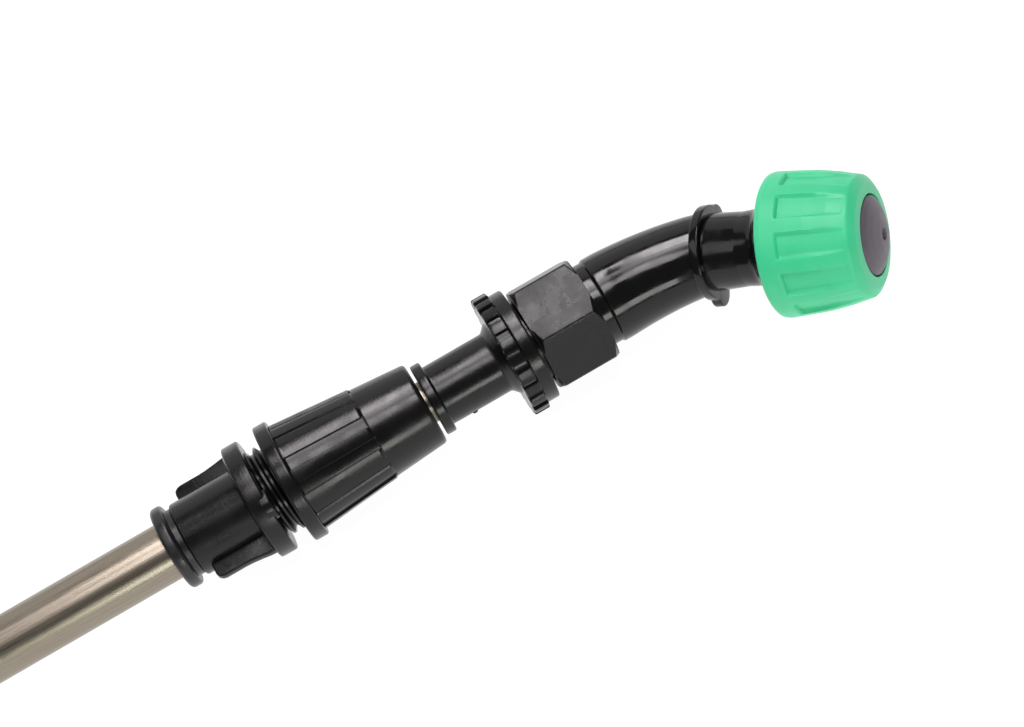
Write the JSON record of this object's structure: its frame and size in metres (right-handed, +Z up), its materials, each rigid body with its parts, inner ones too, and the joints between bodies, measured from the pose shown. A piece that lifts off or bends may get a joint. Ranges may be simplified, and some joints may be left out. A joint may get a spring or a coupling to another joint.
{
  "type": "telescopic spray lance",
  "caption": "Telescopic stainless spray lance of a backpack sprayer, with clamp gland, hex coupling, bent nozzle pipe and adjustable green nozzle.",
  "frame": {"origin": "centre of the rear seat face, on the lance's axis, where the trigger valve meets the tail", "axes": "+X along the lance towards the nozzle, +Z up with the lance lying flat; the nozzle pipe bends towards -Y and a little up"},
  "size_m": [0.4075, 0.0463, 0.0332],
  "materials": {
    "black_plastic": "satin moulded",
    "stainless_steel": "brushed",
    "black_rubber": "matt",
    "green_plastic": "satin moulded",
    "grey_plastic": "matt moulded",
    "natural_plastic": "moulded",
    "steel_mesh": "woven mesh"
  },
  "bodies": {
    "barrel": {"outer_tube": "stainless_steel", "barrel_ring": "black_rubber", "gland_body": "black_plastic", "gland_seal": "black_rubber", "rear_tail": "black_plastic", "rear_o_ring": "black_rubber"},
    "gland_grip": {"gland_thrust_ring": "natural_plastic", "gland_collet": "natural_plastic"},
    "gland_nut": {"gland_nut": "black_plastic"},
    "guide": {"guide_bush": "natural_plastic", "guide_seal": "black_rubber"},
    "wand": {"inner_tube": "stainless_steel", "tip_adapter": "black_plastic", "elbow_seal": "black_rubber", "strainer_body": "natural_plastic", "strainer_mesh": "steel_mesh"},
    "coupling_washer": {"coupling_washer": "natural_plastic"},
    "coupling_nut": {"coupling_nut": "black_plastic"},
    "elbow": {"elbow": "black_plastic", "nose_o_ring": "black_rubber", "swirl_core": "natural_plastic"},
    "tip": {"disc_gasket": "black_rubber", "nozzle_disc": "grey_plastic"},
    "cap": {"nozzle_cap": "green_plastic"},
    "rear_washer": {"rear_washer": "natural_plastic"},
    "rear_nut": {"rear_nut": "black_plastic"}
  },
  "joints": [
    {"name": "gland_travel", "type": "slide", "parent": "barrel", "child": "gland_grip", "axis": [1, 0, 0], "range_m": [-0.003, 0.00033]},
    {"name": "gland_nut_turn", "type": "hinge", "parent": "gland_grip", "child": "gland_nut", "pos_m": [0.28, 0, 0], "axis": [1, 0, 0], "range_deg": [-540.6, 60.6]},
    {"name": "wand_slide", "type": "slide", "parent": "barrel", "child": "guide", "axis": [1, 0, 0], "range_m": [0, 0.2]},
    {"name": "wand_swivel", "type": "hinge", "parent": "guide", "child": "wand", "pos_m": [0.03, 0, 0], "axis": [1, 0, 0], "continuous": true},
    {"name": "coupling_travel", "type": "slide", "parent": "wand", "child": "coupling_washer", "axis": [1, 0, 0], "range_m": [0, 0.002]},
    {"name": "coupling_nut_turn", "type": "hinge", "parent": "coupling_washer", "child": "coupling_nut", "pos_m": [0.3313, 0, 0], "axis": [1, 0, 0], "range_deg": [-0.6, 360.6]},
    {"name": "elbow_swivel", "type": "hinge", "parent": "wand", "child": "elbow", "pos_m": [0.3305, 0, 0], "axis": [1, 0, 0], "continuous": true},
    {"name": "tip_travel", "type": "slide", "parent": "elbow", "child": "tip", "axis": [0.7826, -0.5868, 0.2078], "range_m": [0, 0.003]},
    {"name": "cap_turn", "type": "hinge", "parent": "tip", "child": "cap", "pos_m": [0.35873, 0, 0], "axis": [0.7826, -0.5868, 0.2078], "range_deg": [-0.6, 540.6]},
    {"name": "rear_washer_slide", "type": "slide", "parent": "barrel", "child": "rear_washer", "axis": [1, 0, 0], "range_m": [0, 0.008]},
    {"name": "rear_nut_turn", "type": "hinge", "parent": "rear_washer", "child": "rear_nut", "pos_m": [0, 0, 0], "axis": [1, 0, 0], "continuous": true}
  ],
  "couplings": [
    {"joint": "gland_nut_turn", "follows": "gland_travel", "rad_per_m": 3141.6},
    {"joint": "coupling_nut_turn", "follows": "coupling_travel", "rad_per_m": 3141.6},
    {"joint": "cap_turn", "follows": "tip_travel", "rad_per_m": 3141.6}
  ]
}
